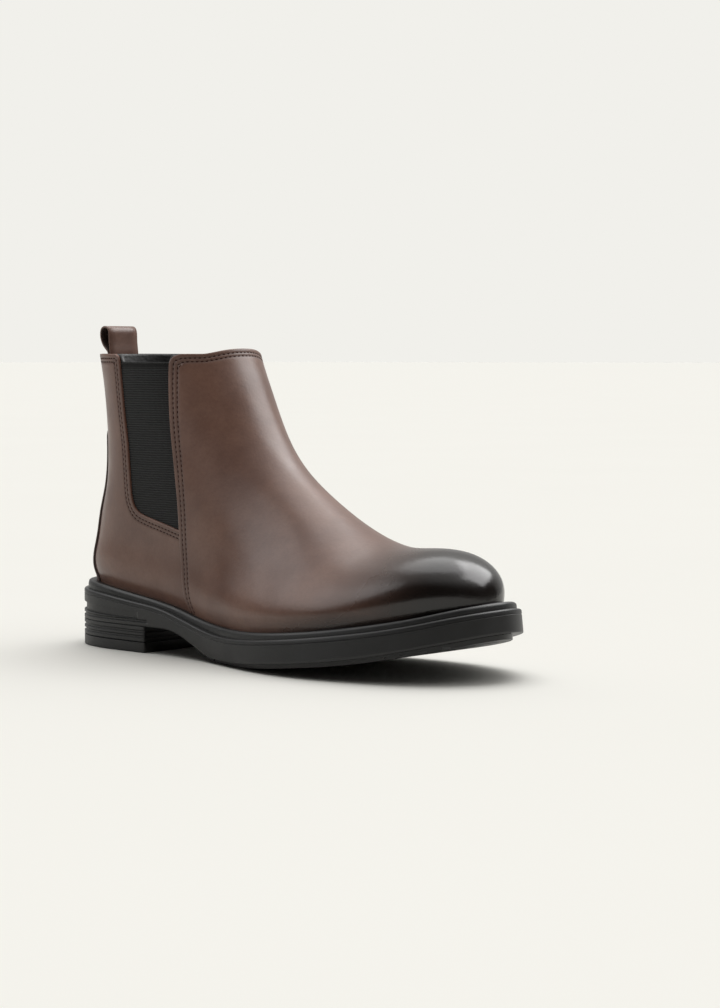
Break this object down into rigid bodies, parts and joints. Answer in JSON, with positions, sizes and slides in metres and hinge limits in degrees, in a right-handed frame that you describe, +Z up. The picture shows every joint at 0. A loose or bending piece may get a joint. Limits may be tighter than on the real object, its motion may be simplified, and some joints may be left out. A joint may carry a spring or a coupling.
{
  "type": "chelsea boot",
  "caption": "Ankle-high leather boot with elastic side panels, heel pull loop, storm welt and a moulded rubber sole with a low block heel.",
  "frame": {"origin": "on the floor under the middle of the sole's length and width", "axes": "+X towards the toe, +Y towards the wearer's left (the inner side of this right boot), +Z up"},
  "size_m": [0.306, 0.1105, 0.1867],
  "materials": {
    "leather_upper": "polished full-grain calf, semi-gloss mid brown, burnished darker at the toe",
    "leather_lining": "black grained lining leather",
    "elastic": "black rib-knit elastic",
    "sole_rubber": "black moulded rubber, satin",
    "welt_rubber": "black rubber welt, satin",
    "stiffener": "resin-impregnated non-woven",
    "interlining": "cotton drill",
    "board": "cellulose insole board",
    "cork": "cork and latex filler",
    "foam": "soft polyurethane foam",
    "steel": "spring steel shank and rivets"
  },
  "bodies": {
    "boot": {"vamp": "leather_upper", "quarter_lateral": "leather_upper", "quarter_medial": "leather_upper", "back_stay": "leather_upper", "gusset_lateral": "elastic", "gusset_medial": "elastic", "pull_loop_tails": "leather_upper", "vamp_lining": "leather_lining", "quarter_lining": "leather_lining", "sock_liner": "leather_lining", "toe_puff": "stiffener", "heel_counter": "stiffener", "vamp_interlining": "interlining", "insole_board": "board", "bottom_filler": "cork", "footbed_foam": "foam", "shank": "steel", "shank_rivet_rear": "steel", "shank_rivet_front": "steel", "outsole": "sole_rubber", "heel_block": "sole_rubber", "heel_top_lift": "sole_rubber", "forefoot_tread": "sole_rubber", "storm_welt": "welt_rubber"},
    "pull_loop": {"pull_loop": "leather_upper"}
  },
  "joints": [
    {"name": "pull_loop_fold", "type": "hinge", "parent": "boot", "child": "pull_loop", "pos_m": [-0.1358, -0.00019, 0.17225], "axis": [0, 1, 0], "range_deg": [-45, 65], "stiffness_Nm_per_rad": 0.01}
  ]
}
